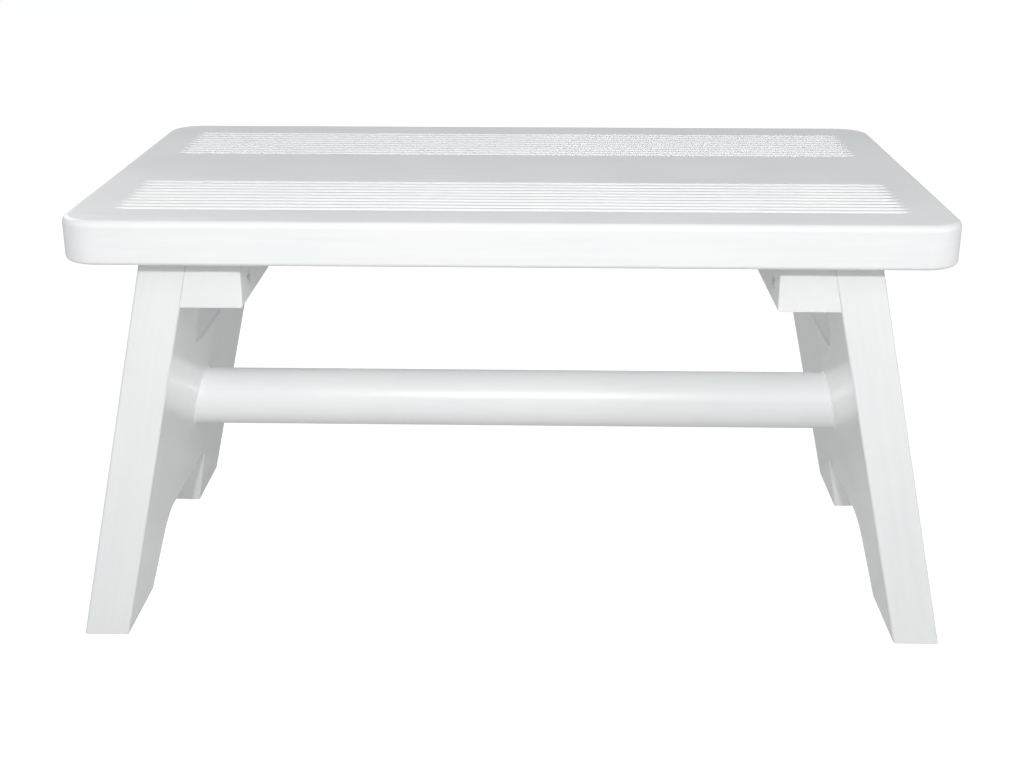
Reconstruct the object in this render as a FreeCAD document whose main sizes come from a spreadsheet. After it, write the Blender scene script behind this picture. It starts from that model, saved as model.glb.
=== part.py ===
import FreeCAD, Part
import math
import os
import Sketcher

# Low wooden bath bench, millimetres.
# X runs along the seat, -Y is the front and Z is up.  The origin is on the floor, under the middle
# of the seat.  The bench is symmetrical: the right-hand pieces are modelled and the left-hand ones
# mirror them.

BACKWARDS = FreeCAD.Vector(0, 1, 0)
SIDEWAYS = FreeCAD.Vector(1, 0, 0)
UPWARDS = FreeCAD.Vector(0, 0, 1)

QUARTER_TURN = math.pi / 2
QUARTER_TURN_DEGREES = 90
EIGHTH_TURN_DEGREES = 45
FULL_TURN_DEGREES = 360

# Lengths, directions and volumes closer than these count as the same.
SAME_PLACE = 1e-3
SAME_DIRECTION = 1e-6
SAME_VOLUME = 1e-6

DIMENSIONS = {
    # seat board
    "seat_width": 400,
    "seat_depth": 230,
    "seat_thickness": 20,
    "seat_height": 213,
    "seat_corner_radius": 17,
    "seat_top_round": 3,
    "seat_bottom_round": 2,
    # anti-slip grooves: two mirrored bands, cut with a ball-nosed cutter
    "groove_count": 10,
    "groove_pitch": 6,
    "groove_radius": 1.6,
    "groove_length": 364,
    "band_centre": 62,
    # legs: planks that splay outwards; heights on a plank are measured up its slope
    "leg_depth": 206,
    "leg_thickness": 21.4,
    "leg_splay": 12.9,
    "leg_top_spread": 333,
    "leg_edge_round": 1.5,
    "arch_floor_width": 108,
    "arch_top_width": 86,
    "arch_rise": 39,
    "arch_corner_radius": 14,
    "slot_length": 100,
    "slot_rise": 35,
    "slot_centre": 152,
    # cleats
    "cleat_gap": 242,
    "cleat_drop": 23,
    "cleat_edge_round": 2.5,
    # round rail between the legs
    "rail_diameter": 30,
    "rail_centre": 88,
    "rail_length": 356,
    "rail_edge_round": 1,
    "glue_gap": 0.1,
    # screws that hold each cleat to its leg
    "leg_screw_length": 40,
    "leg_screw_spacing": 85,
    "leg_screw_level": 180,
    # screws that hold the seat to each cleat
    "seat_screw_length": 35,
    "seat_screw_spacing": 100,
    "seat_screw_spread": 268,
    # all cleat screws have one thickness
    "screw_radius": 2,
    "screw_core_radius": 1.4,
    "screw_head_radius": 4,
    "screw_head_rise": 2.4,
    "screw_recess": 0.3,
    "sink_opening": 1,
    # one thicker screw in each end of the rail, under a plug
    "rail_screw_length": 50,
    "rail_screw_radius": 2.5,
    "rail_screw_core_radius": 1.8,
    "rail_screw_head_radius": 5,
    "rail_screw_head_rise": 3,
    "rail_screw_reach": 184.5,
    # details shared by both kinds of screw
    "head_edge": 0.25,
    "plain_shank_divisor": 3,
    "thread_pitch": 2,
    "drive_depth": 1.5,
    "drive_width": 1,
    "drive_arm_share": 0.55,
    "plug_radius": 5.5,
    "plug_recess": 0.3,
    # pins that locate each leg in the seat
    "dowel_radius": 4,
    "dowel_length": 30,
    "dowel_depth_in_seat": 11,
    "dowel_spacing": 120,
    "dowel_end_chamfer": 1,
    # how much deeper a blind hole is than the screw or pin in it
    "hole_spare": 1,
}

# Sizes that follow from the driving ones.
DERIVED = {
    "seat_under": "seat_height - seat_thickness",
    "leg_run": "seat_under * tan(leg_splay * 1deg)",
    "leg_level_thickness": "leg_thickness / cos(leg_splay * 1deg)",
    "leg_top_outer": "leg_top_spread / 2",
    "leg_top_inner": "leg_top_outer - leg_level_thickness",
    "leg_foot_outer": "leg_top_outer + leg_run",
    "leg_foot_inner": "leg_top_inner + leg_run",
    "leg_top_middle": "leg_top_outer - leg_level_thickness / 2",
    "cleat_inner": "cleat_gap / 2",
    "cleat_under": "seat_under - cleat_drop",
    "cleat_low_outer": "leg_top_inner + cleat_drop * tan(leg_splay * 1deg)",
    "rail_radius": "rail_diameter / 2",
    "rail_end": "rail_length / 2",
    "seat_screw_line": "seat_screw_spread / 2",
    "seat_screw_start": "cleat_under + screw_recess",
    "leg_screw_start": "cleat_inner + screw_recess",
}

doc = FreeCAD.newDocument("bath_bench")
sheet = doc.addObject("Spreadsheet::Sheet", "Sizes")


def fill_sheet():
    """Driving numbers go in first, as text, and then the sizes worked out from them."""
    row = 1
    for alias, value in DIMENSIONS.items():
        sheet.set(f"A{row}", alias)
        sheet.set(f"B{row}", str(value))
        sheet.setAlias(f"B{row}", alias)
        row += 1
    for alias, formula in DERIVED.items():
        sheet.set(f"A{row}", alias)
        sheet.set(f"B{row}", f"={formula}")
        sheet.setAlias(f"B{row}", alias)
        row += 1
    doc.recompute()


def sized(formula):
    """The formula with every sheet alias given its full name, for use outside the sheet."""
    words = formula.replace("(", " ( ").replace(")", " ) ").split()
    names = set(DIMENSIONS) | set(DERIVED)
    return " ".join(f"Sizes.{word}" if word in names else word for word in words)


def value_of(formula):
    """The formula's present value as a plain number."""
    result = sheet.evalExpression(sized(formula))
    return float(getattr(result, "Value", result))


def new_body(name):
    body = doc.addObject("PartDesign::Body", name)
    body.Label = name
    return body


def new_sketch(body, name, plane, offset=None, tilt=None):
    """A sketch on one of the body's own origin planes, moved along its normal and tilted."""
    sketch = body.newObject("Sketcher::SketchObject", name)
    for feature in body.Origin.OriginFeatures:
        if feature.Role == plane:
            sketch.AttachmentSupport = [(feature, "")]
    sketch.MapMode = "FlatFace"
    if tilt:
        sketch.AttachmentOffset = FreeCAD.Placement(
            FreeCAD.Vector(), FreeCAD.Rotation(FreeCAD.Vector(-1, 0, 0), 1)
        )
        sketch.setExpression("AttachmentOffset.Rotation.Angle", sized(tilt))
    if offset:
        sketch.setExpression("AttachmentOffset.Base.z", sized(offset))
    return sketch


def pin_point(sketch, piece, point, across, up=None):
    """Tie one point of the sketch to its place, given as formulas from the origin."""
    for formula, kind, axis in ((across, "DistanceX", -2), (up, "DistanceY", -1)):
        if formula is None:
            continue
        number = value_of(formula)
        if number == 0:
            sketch.addConstraint(Sketcher.Constraint("PointOnObject", piece, point, axis))
            continue
        if number > 0:
            ends = (-1, 1, piece, point)
            bound = sized(formula)
        else:
            ends = (piece, point, -1, 1)
            bound = sized(f"-1 * ( {formula} )")
        index = sketch.addConstraint(Sketcher.Constraint(kind, *ends, abs(number)))
        sketch.setExpression(f"Constraints[{index}]", bound)


def add_polygon(sketch, corners):
    """A closed outline through the corners, each a pair of formulas."""
    places = [FreeCAD.Vector(value_of(x), value_of(y), 0) for x, y in corners]
    count = len(corners)
    for i in range(count):
        sketch.addGeometry(Part.LineSegment(places[i], places[(i + 1) % count]), False)
    for i in range(count):
        sketch.addConstraint(Sketcher.Constraint("Coincident", i, 2, (i + 1) % count, 1))
    for i, (x, y) in enumerate(corners):
        pin_point(sketch, i, 1, x, y)


def add_circle(sketch, across, up, radius):
    centre = FreeCAD.Vector(value_of(across), value_of(up), 0)
    circle = Part.Circle(centre, UPWARDS, value_of(radius))
    piece = sketch.addGeometry(circle, False)
    index = sketch.addConstraint(Sketcher.Constraint("Radius", piece, value_of(radius)))
    sketch.setExpression(f"Constraints[{index}]", sized(radius))
    pin_point(sketch, piece, 3, across, up)


def pad(body, name, sketch, length, middle=False, backwards=False):
    feature = body.newObject("PartDesign::Pad", name)
    feature.Profile = sketch
    feature.setExpression("Length", sized(length))
    feature.SideType = "Symmetric" if middle else "One side"
    feature.Reversed = backwards
    doc.recompute()
    return feature


def pocket(body, name, sketch, length=None, backwards=False):
    """Cut the sketch's outline to a depth, or right through both ways, and check it removed wood."""
    before = body.Shape.Volume
    feature = body.newObject("PartDesign::Pocket", name)
    feature.Profile = sketch
    if length:
        feature.setExpression("Length", sized(length))
        feature.Reversed = backwards
    else:
        feature.Type = "ThroughAll"
        feature.SideType = "Symmetric"
    doc.recompute()
    if body.Shape.Volume >= before - SAME_VOLUME:
        raise RuntimeError(f"{name} removed nothing")
    return feature


def round_edges(body, name, base, radius, wanted):
    """Fillet every edge of the base feature for which wanted(edge) is true."""
    edges = []
    for number, edge in enumerate(base.Shape.Edges, start=1):
        if wanted(edge):
            edges.append(f"Edge{number}")
    if not edges:
        raise RuntimeError(f"{name} found no edges")
    feature = body.newObject("PartDesign::Fillet", name)
    feature.Base = (base, edges)
    feature.setExpression("Radius", sized(radius))
    doc.recompute()
    return feature


def lies_at(edge, axis, level):
    """True when the whole edge lies in the plane where the axis has the given value."""
    box = edge.BoundBox
    low = getattr(box, axis + "Min")
    high = getattr(box, axis + "Max")
    return abs(low - level) < SAME_PLACE and abs(high - level) < SAME_PLACE


def runs_along(edge, direction):
    if edge.Curve.TypeId != "Part::GeomLine":
        return False
    return edge.Curve.Direction.cross(direction).Length < SAME_DIRECTION


def row_of(body, name, feature, axis_holder, span, count):
    """Repeat a feature in a straight row."""
    row = body.newObject("PartDesign::LinearPattern", name)
    row.Originals = [feature]
    row.Direction = axis_holder
    row.setExpression("Length", sized(span))
    row.setExpression("Occurrences", sized(count))
    body.Tip = row
    doc.recompute()
    return row


def mirrored(name, source):
    """The same piece on the left-hand side of the bench."""
    copy = doc.addObject("Part::Mirroring", name)
    copy.Label = name
    copy.Source = source
    copy.Normal = SIDEWAYS
    return copy


def compound(name, members):
    group = doc.addObject("Part::Compound", name)
    group.Label = name
    group.Links = members
    return group


# ---------------------------------------------------------------- seat board

def make_seat():
    body = new_body("seat_board")
    outline = new_sketch(body, "SeatOutline", "XY_Plane", "seat_under")
    half_width = "seat_width / 2"
    half_depth = "seat_depth / 2"
    add_polygon(outline, [
        (f"-1 * {half_width}", f"-1 * {half_depth}"),
        (half_width, f"-1 * {half_depth}"),
        (half_width, half_depth),
        (f"-1 * {half_width}", half_depth),
    ])
    board = pad(body, "SeatBoard", outline, "seat_thickness")
    corners = round_edges(
        body, "SeatCorners", board, "seat_corner_radius",
        lambda edge: runs_along(edge, UPWARDS),
    )
    top_level = value_of("seat_height")
    top = round_edges(
        body, "SeatTopRound", corners, "seat_top_round",
        lambda edge: lies_at(edge, "Z", top_level),
    )
    under_level = value_of("seat_under")
    round_edges(
        body, "SeatBottomRound", top, "seat_bottom_round",
        lambda edge: lies_at(edge, "Z", under_level),
    )
    cut_groove_band(body, "FrontBand", -1)
    cut_groove_band(body, "RearBand", 1)
    drill_seat(body)
    return body


def cut_groove_band(body, name, side):
    """A band of parallel grooves: one is turned about its own axis and then repeated towards +Y."""
    first_line = f"{side} * band_centre - groove_pitch * ( groove_count - 1 ) / 2"
    sketch = new_sketch(body, name + "Profile", "XZ_Plane", f"-1 * ( {first_line} )")
    top = "seat_height"
    low = "seat_height - groove_radius"
    end = "groove_length / 2"
    shoulder = "groove_length / 2 - groove_radius"
    add_groove_outline(sketch, top, low, end, shoulder)
    axis = new_sketch(body, name + "Axis", "XZ_Plane", f"-1 * ( {first_line} )")
    left = FreeCAD.Vector(-value_of(end), value_of(top), 0)
    right = FreeCAD.Vector(value_of(end), value_of(top), 0)
    axis.addGeometry(Part.LineSegment(left, right), False)
    pin_point(axis, 0, 1, f"-1 * ( {end} )", top)
    pin_point(axis, 0, 2, end, top)
    before = body.Shape.Volume
    groove = body.newObject("PartDesign::Groove", name + "Groove")
    groove.Profile = sketch
    groove.ReferenceAxis = (axis, ["Edge1"])
    groove.Angle = FULL_TURN_DEGREES
    doc.recompute()
    row_of(
        body, name + "Row", groove, (origin_axis(body, "Y_Axis"), [""]),
        "groove_pitch * ( groove_count - 1 )", "groove_count",
    )
    if body.Shape.Volume >= before:
        raise RuntimeError(f"{name} removed nothing")


def add_groove_outline(sketch, top, low, end, shoulder):
    """Half of the cutter's path seen from the front: a long slot with quarter-round ends."""
    height = value_of(top)
    depth = value_of(low)
    reach = value_of(end)
    straight = value_of(shoulder)
    radius = value_of("groove_radius")
    places = [
        FreeCAD.Vector(-reach, height, 0),
        FreeCAD.Vector(reach, height, 0),
        FreeCAD.Vector(straight, depth, 0),
        FreeCAD.Vector(-straight, depth, 0),
    ]
    right_centre = FreeCAD.Vector(straight, height, 0)
    left_centre = FreeCAD.Vector(-straight, height, 0)
    right_circle = Part.Circle(right_centre, UPWARDS, radius)
    left_circle = Part.Circle(left_centre, UPWARDS, radius)
    right_arc = Part.ArcOfCircle(right_circle, -QUARTER_TURN, 0)
    left_arc = Part.ArcOfCircle(left_circle, 2 * QUARTER_TURN, 3 * QUARTER_TURN)
    sketch.addGeometry(Part.LineSegment(places[0], places[1]), False)
    sketch.addGeometry(right_arc, False)
    sketch.addGeometry(Part.LineSegment(places[2], places[3]), False)
    sketch.addGeometry(left_arc, False)
    sketch.addConstraint(Sketcher.Constraint("Coincident", 0, 2, 1, 2))
    sketch.addConstraint(Sketcher.Constraint("Coincident", 1, 1, 2, 1))
    sketch.addConstraint(Sketcher.Constraint("Coincident", 2, 2, 3, 2))
    sketch.addConstraint(Sketcher.Constraint("Coincident", 3, 1, 0, 1))
    pin_point(sketch, 1, 3, shoulder, top)
    pin_point(sketch, 3, 3, f"-1 * ( {shoulder} )", top)
    pin_point(sketch, 0, 2, end, top)
    pin_point(sketch, 0, 1, f"-1 * ( {end} )", top)
    pin_point(sketch, 2, 1, shoulder)
    pin_point(sketch, 2, 2, f"-1 * ( {shoulder} )")


def origin_axis(body, role):
    for feature in body.Origin.OriginFeatures:
        if feature.Role == role:
            return feature
    raise RuntimeError(f"no {role}")


def drill_seat(body):
    """Blind holes in the underside for the screws and the locating pins."""
    pilots = new_sketch(body, "SeatPilots", "XY_Plane", "seat_under")
    for side in (-1, 1):
        for end in (-1, 1):
            add_circle(
                pilots, f"{side} * seat_screw_line", f"{end} * seat_screw_spacing / 2",
                "screw_radius",
            )
    depth = "seat_screw_start + seat_screw_length - seat_under + hole_spare"
    pocket(body, "SeatPilotHoles", pilots, depth, backwards=True)
    pins = new_sketch(body, "SeatPins", "XY_Plane", "seat_under")
    for side in (-1, 1):
        for end in (-1, 1):
            add_circle(
                pins, f"{side} * leg_top_middle", f"{end} * dowel_spacing / 2", "dowel_radius"
            )
    pocket(body, "SeatPinHoles", pins, "dowel_depth_in_seat + hole_spare", backwards=True)


# ---------------------------------------------------------------- legs

def make_right_leg():
    body = new_body("right_leg")
    profile = new_sketch(body, "LegProfile", "XZ_Plane")
    add_polygon(profile, [
        ("leg_foot_inner", "0"),
        ("leg_foot_outer", "0"),
        ("leg_top_outer", "seat_under"),
        ("leg_top_inner", "seat_under"),
    ])
    plank = pad(body, "LegPlank", profile, "leg_depth", middle=True)

    arch = new_sketch(body, "ArchOutline", "YZ_Plane", "leg_foot_inner", "leg_splay * 1deg")
    below = "-1 * arch_rise / 2"
    flare = "( arch_floor_width - arch_top_width ) / 4"
    wide = f"( arch_floor_width / 2 + {flare} )"
    narrow = "arch_top_width / 2"
    add_polygon(arch, [
        (f"-1 * {wide}", below),
        (wide, below),
        (narrow, "arch_rise"),
        (f"-1 * {narrow}", "arch_rise"),
    ])
    pocket(body, "Arch", arch)

    slot = new_sketch(body, "SlotOutline", "YZ_Plane", "leg_foot_inner", "leg_splay * 1deg")
    add_slot(slot)
    cut = pocket(body, "HandSlot", slot)

    splay = FreeCAD.Rotation(BACKWARDS, -value_of("leg_splay"))
    outward = splay.multVec(SIDEWAYS)
    arch_level = value_of("arch_rise")
    arch_corners = round_edges(
        body, "ArchCorners", cut, "arch_corner_radius",
        lambda edge: runs_along(edge, outward) and edge.BoundBox.ZMin > arch_level / 2,
    )

    up_slope = splay.multVec(UPWARDS)
    half_depth = value_of("leg_depth") / 2

    def is_rim(edge):
        """The long front and rear edges of the plank, and the rims of its two openings."""
        if runs_along(edge, BACKWARDS) and lies_at(edge, "Z", 0):
            return False
        if runs_along(edge, outward):
            return False
        if lies_at(edge, "Z", value_of("seat_under")) or lies_at(edge, "Z", 0):
            return False
        box = edge.BoundBox
        long_side = runs_along(edge, up_slope) and abs(box.YMax) > half_depth - SAME_PLACE
        in_opening = max(abs(box.YMin), abs(box.YMax)) < half_depth - SAME_PLACE
        return long_side or in_opening

    round_edges(body, "LegEdges", arch_corners, "leg_edge_round", is_rim)
    drill_leg(body)
    return body


def add_slot(sketch):
    """An oval hand-hold: two straight sides joined by half circles."""
    reach = "( slot_length - slot_rise ) / 2"
    low = "slot_centre - slot_rise / 2"
    high = "slot_centre + slot_rise / 2"
    x = value_of(reach)
    bottom = value_of(low)
    top = value_of(high)
    radius = value_of("slot_rise / 2")
    centre = value_of("slot_centre")
    right_circle = Part.Circle(FreeCAD.Vector(x, centre, 0), UPWARDS, radius)
    left_circle = Part.Circle(FreeCAD.Vector(-x, centre, 0), UPWARDS, radius)
    sketch.addGeometry(
        Part.LineSegment(FreeCAD.Vector(-x, bottom, 0), FreeCAD.Vector(x, bottom, 0)), False
    )
    sketch.addGeometry(Part.ArcOfCircle(right_circle, -QUARTER_TURN, QUARTER_TURN), False)
    sketch.addGeometry(
        Part.LineSegment(FreeCAD.Vector(x, top, 0), FreeCAD.Vector(-x, top, 0)), False
    )
    sketch.addGeometry(Part.ArcOfCircle(left_circle, QUARTER_TURN, 3 * QUARTER_TURN), False)
    sketch.addConstraint(Sketcher.Constraint("Coincident", 0, 2, 1, 1))
    sketch.addConstraint(Sketcher.Constraint("Coincident", 1, 2, 2, 1))
    sketch.addConstraint(Sketcher.Constraint("Coincident", 2, 2, 3, 1))
    sketch.addConstraint(Sketcher.Constraint("Coincident", 3, 2, 0, 1))
    pin_point(sketch, 0, 1, f"-1 * {reach}", low)
    pin_point(sketch, 0, 2, reach, low)
    pin_point(sketch, 2, 1, reach)
    pin_point(sketch, 2, 2, f"-1 * {reach}")
    pin_point(sketch, 1, 3, reach, "slot_centre")
    pin_point(sketch, 3, 3, f"-1 * {reach}", "slot_centre")


def drill_leg(body):
    """Level holes for the rail and the screws, and upright ones for the pins."""
    socket = new_sketch(body, "SocketOutline", "YZ_Plane", "rail_end + glue_gap")
    add_circle(socket, "0", "rail_centre", "rail_radius + glue_gap")
    pocket(body, "RailSocket", socket, "rail_end - leg_top_inner")

    screw = new_sketch(body, "RailScrewOutline", "YZ_Plane", "rail_end")
    add_circle(screw, "0", "rail_centre", "rail_screw_radius")
    pocket(body, "RailScrewHole", screw, "leg_foot_outer - rail_end", backwards=True)

    seatings = new_sketch(body, "PlugOutline", "YZ_Plane", "rail_screw_reach - rail_screw_head_rise")
    add_circle(seatings, "0", "rail_centre", "plug_radius")
    pocket(body, "PlugHole", seatings, "leg_foot_outer - rail_screw_reach + rail_screw_head_rise",
           backwards=True)

    screws = new_sketch(body, "LegScrewOutline", "YZ_Plane", "leg_screw_start + leg_screw_length")
    for place in (-1, 0, 1):
        add_circle(screws, f"{place} * leg_screw_spacing", "leg_screw_level", "screw_radius")
    pocket(body, "LegScrewHoles", screws, "leg_screw_length")

    pins = new_sketch(
        body, "LegPins", "XY_Plane",
        "seat_under - dowel_length + dowel_depth_in_seat - hole_spare",
    )
    for end in (-1, 1):
        add_circle(pins, "leg_top_middle", f"{end} * dowel_spacing / 2", "dowel_radius")
    pocket(body, "LegPinHoles", pins, "dowel_length", backwards=True)


# ---------------------------------------------------------------- cleats

def make_right_cleat():
    body = new_body("right_cleat")
    profile = new_sketch(body, "CleatProfile", "XZ_Plane")
    add_polygon(profile, [
        ("cleat_inner", "cleat_under"),
        ("cleat_low_outer", "cleat_under"),
        ("leg_top_inner", "seat_under"),
        ("cleat_inner", "seat_under"),
    ])
    batten = pad(body, "CleatBatten", profile, "leg_depth", middle=True)
    inner = value_of("cleat_inner")
    under = value_of("cleat_under")
    round_edges(
        body, "CleatEdge", batten, "cleat_edge_round",
        lambda edge: lies_at(edge, "X", inner) and lies_at(edge, "Z", under),
    )
    level = new_sketch(body, "CleatLevelHoles", "YZ_Plane", "cleat_inner")
    upright = new_sketch(body, "CleatUprightHoles", "XY_Plane", "cleat_under")
    for place in (-1, 0, 1):
        add_circle(level, f"{place} * leg_screw_spacing", "leg_screw_level", "screw_radius")
    for end in (-1, 1):
        add_circle(upright, "seat_screw_line", f"{end} * seat_screw_spacing / 2", "screw_radius")
    pocket(body, "CleatLevelHole", level, "leg_screw_length", backwards=True)
    pocket(body, "CleatUprightHole", upright, "seat_screw_length", backwards=True)
    for place in (-1, 0, 1):
        countersink(body, f"LevelSink{place + 1}", "XY_Plane", "leg_screw_level",
                    "leg_screw_start", f"{place} * leg_screw_spacing", True)
    for end in (-1, 1):
        countersink(body, f"UprightSink{end + 1}", "XZ_Plane",
                    f"{-end} * seat_screw_spacing / 2", "seat_screw_line", "seat_screw_start",
                    False)
    return body


def countersink(body, name, plane, offset, across, up, level):
    """A seat for one screw head, turned about the screw's axis, open a little beyond the face."""
    sketch = new_sketch(body, name + "Profile", plane, offset)
    head = "screw_head_radius"
    rise = "screw_head_rise"
    back = "( screw_recess + sink_opening )"
    if level:
        corners = [
            (f"{across} - {back}", up),
            (f"{across} - {back}", f"{up} + {head}"),
            (across, f"{up} + {head}"),
            (f"{across} + {rise}", f"{up} + screw_radius"),
            (f"{across} + {rise}", up),
        ]
    else:
        corners = [
            (across, f"{up} - {back}"),
            (f"{across} + {head}", f"{up} - {back}"),
            (f"{across} + {head}", up),
            (f"{across} + screw_radius", f"{up} + {rise}"),
            (across, f"{up} + {rise}"),
        ]
    add_polygon(sketch, corners)
    before = body.Shape.Volume
    cut = body.newObject("PartDesign::Groove", name)
    cut.Profile = sketch
    cut.ReferenceAxis = (sketch, ["Edge5"])
    cut.Angle = FULL_TURN_DEGREES
    doc.recompute()
    if body.Shape.Volume >= before:
        raise RuntimeError(f"{name} removed nothing")


# ---------------------------------------------------------------- rail

def make_stretcher():
    body = new_body("stretcher")
    outline = new_sketch(body, "RailOutline", "YZ_Plane")
    add_circle(outline, "0", "rail_centre", "rail_radius")
    rail = pad(body, "Rail", outline, "rail_length", middle=True)
    end = value_of("rail_end")
    round_edges(
        body, "RailEnds", rail, "rail_edge_round",
        lambda edge: lies_at(edge, "X", end) or lies_at(edge, "X", -end),
    )
    depth = "rail_end - rail_screw_reach + rail_screw_length + hole_spare"
    for name, side in (("Left", -1), ("Right", 1)):
        pilot = new_sketch(body, name + "Pilot", "YZ_Plane", f"{side} * rail_end")
        add_circle(pilot, "0", "rail_centre", "rail_screw_radius")
        pocket(body, name + "PilotHole", pilot, depth, backwards=side < 0)
    return body


# ---------------------------------------------------------------- screws, plugs and pins

def make_screw(name, kind, length):
    """A countersunk wood screw that points along +Z from the outer face of its head.

    The thread is a row of plain ridges, and the drive is a generic cross.
    """
    prefix = "rail_screw_" if kind == "rail" else "screw_"
    radius = prefix + "radius"
    core = prefix + "core_radius"
    head = prefix + "head_radius"
    rise = prefix + "head_rise"
    shank = f"{length} / plain_shank_divisor"
    point = f"{radius} * 2"
    body = new_body(name)
    profile = new_sketch(body, name + "_profile", "XZ_Plane")
    add_polygon(profile, [
        ("0", "0"),
        (head, "0"),
        (head, "head_edge"),
        (radius, rise),
        (radius, shank),
        (core, shank),
        (core, f"{length} - {point}"),
        ("0", length),
    ])
    blank = body.newObject("PartDesign::Revolution", name + "_blank")
    blank.Profile = profile
    blank.ReferenceAxis = (profile, ["V_Axis"])
    blank.Angle = FULL_TURN_DEGREES
    doc.recompute()

    ridge = new_sketch(body, name + "_ridge", "XZ_Plane")
    foot = f"{shank} + thread_pitch / 2"
    add_polygon(ridge, [
        (f"{core} / 2", foot),
        (core, foot),
        (radius, f"{foot} + thread_pitch / 4"),
        (core, f"{foot} + thread_pitch / 2"),
        (f"{core} / 2", f"{foot} + thread_pitch / 2"),
    ])
    turn = body.newObject("PartDesign::Revolution", name + "_turn")
    turn.Profile = ridge
    turn.ReferenceAxis = (ridge, ["V_Axis"])
    turn.Angle = FULL_TURN_DEGREES
    doc.recompute()
    room = f"{length} - {point} - ( {foot} ) - thread_pitch"
    count = int(value_of(room) / value_of("thread_pitch"))
    row_of(
        body, name + "_thread", turn, (origin_axis(body, "Z_Axis"), [""]),
        f"thread_pitch * {count - 1}", str(count),
    )

    cross = new_sketch(body, name + "_cross", "XY_Plane")
    arm = f"{head} * drive_arm_share"
    half = "drive_width / 2"
    add_polygon(cross, [
        (half, half), (arm, half), (arm, f"-1 * {half}"), (half, f"-1 * {half}"),
        (half, f"-1 * ( {arm} )"), (f"-1 * {half}", f"-1 * ( {arm} )"),
        (f"-1 * {half}", f"-1 * {half}"), (f"-1 * ( {arm} )", f"-1 * {half}"),
        (f"-1 * ( {arm} )", half), (f"-1 * {half}", half),
        (f"-1 * {half}", arm), (half, arm),
    ])
    pocket(body, name + "_drive", cross, "drive_depth", backwards=True)
    return body


def set_place(body, axis, angle, across, deep, high):
    """Turn a piece about an axis and put its origin at three formulas."""
    body.Placement = FreeCAD.Placement(
        FreeCAD.Vector(value_of(across), value_of(deep), value_of(high)),
        FreeCAD.Rotation(axis, angle),
    )
    for letter, formula in (("x", across), ("y", deep), ("z", high)):
        body.setExpression(f"Placement.Base.{letter}", sized(formula))


def make_right_leg_screws():
    screws = []
    for place in (-1, 0, 1):
        screw = make_screw(f"leg_screw_{place + 2}", "cleat", "leg_screw_length")
        set_place(screw, BACKWARDS, QUARTER_TURN_DEGREES, "leg_screw_start",
                  f"{place} * leg_screw_spacing", "leg_screw_level")
        screws.append(screw)
    return compound("right_leg_screws", screws)


def make_right_seat_screws():
    screws = []
    for number, end in ((1, -1), (2, 1)):
        screw = make_screw(f"seat_screw_{number}", "cleat", "seat_screw_length")
        set_place(screw, UPWARDS, EIGHTH_TURN_DEGREES, "seat_screw_line",
                  f"{end} * seat_screw_spacing / 2", "seat_screw_start")
        screws.append(screw)
    return compound("right_seat_screws", screws)


def make_right_rail_screw():
    screw = make_screw("right_rail_screw", "rail", "rail_screw_length")
    set_place(screw, BACKWARDS, -QUARTER_TURN_DEGREES, "rail_screw_reach", "0", "rail_centre")
    return screw


def make_right_plug():
    """A round plug whose outer end follows the slope of the leg, a little below its surface."""
    body = new_body("right_rail_plug")
    outline = new_sketch(body, "PlugEnd", "YZ_Plane", "rail_screw_reach")
    add_circle(outline, "0", "rail_centre", "plug_radius - glue_gap")
    blank = "leg_foot_outer - rail_screw_reach"
    pad(body, "PlugBlank", outline, blank)
    face = "leg_foot_outer - plug_recess"
    slope = new_sketch(body, "PlugSlope", "XZ_Plane")
    add_polygon(slope, [
        (face, "0"),
        (f"{face} + leg_run", "0"),
        (f"{face} + leg_run", "seat_under"),
        (f"{face} - leg_run", "seat_under"),
    ])
    pocket(body, "PlugFace", slope)
    return body


def make_right_dowels():
    pins = []
    for number, end in ((1, -1), (2, 1)):
        body = new_body(f"dowel_{number}")
        outline = new_sketch(body, f"DowelOutline{number}", "XY_Plane")
        add_circle(outline, "0", "0", "dowel_radius")
        pin = pad(body, f"Dowel{number}", outline, "dowel_length")
        ends = (0, value_of("dowel_length"))
        edges = []
        for place, edge in enumerate(pin.Shape.Edges, start=1):
            if any(lies_at(edge, "Z", level) for level in ends):
                edges.append(f"Edge{place}")
        chamfer = body.newObject("PartDesign::Chamfer", f"DowelEnds{number}")
        chamfer.Base = (pin, edges)
        chamfer.setExpression("Size", sized("dowel_end_chamfer"))
        doc.recompute()
        set_place(body, UPWARDS, 0, "leg_top_middle",
                  f"{end} * dowel_spacing / 2",
                  "seat_under + dowel_depth_in_seat - dowel_length")
        pins.append(body)
    return compound("right_dowels", pins)


def check_document(pieces):
    """Stop before writing anything if an object failed or a piece is not a sound shape."""
    for item in doc.Objects:
        if "Invalid" in item.State or "Error" in item.State:
            raise RuntimeError(f"{item.Name} failed: {item.State}")
    for piece in pieces:
        if piece.Shape.isNull() or not piece.Shape.isValid() or not piece.Shape.Solids:
            raise RuntimeError(f"{piece.Label} has no sound shape")


fill_sheet()
seat = make_seat()
right_pieces = [
    make_right_leg(),
    make_right_cleat(),
    make_right_leg_screws(),
    make_right_seat_screws(),
    make_right_rail_screw(),
    make_right_plug(),
    make_right_dowels(),
]
rail = make_stretcher()
left_pieces = [mirrored(piece.Label.replace("right", "left"), piece) for piece in right_pieces]
doc.recompute()
all_pieces = [seat, rail] + right_pieces + left_pieces
check_document(all_pieces)
os.makedirs("parts", exist_ok=True)
for piece in all_pieces:
    piece.Shape.exportStep(f"parts/{piece.Label}.step")
    box = piece.Shape.BoundBox
    print(f"{piece.Label:18s} solids {len(piece.Shape.Solids)} volume {piece.Shape.Volume:10.0f}"
          f"  x {box.XMin:7.1f} {box.XMax:7.1f}  y {box.YMin:7.1f} {box.YMax:7.1f}"
          f"  z {box.ZMin:7.1f} {box.ZMax:7.1f}")
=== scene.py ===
import math

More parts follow.
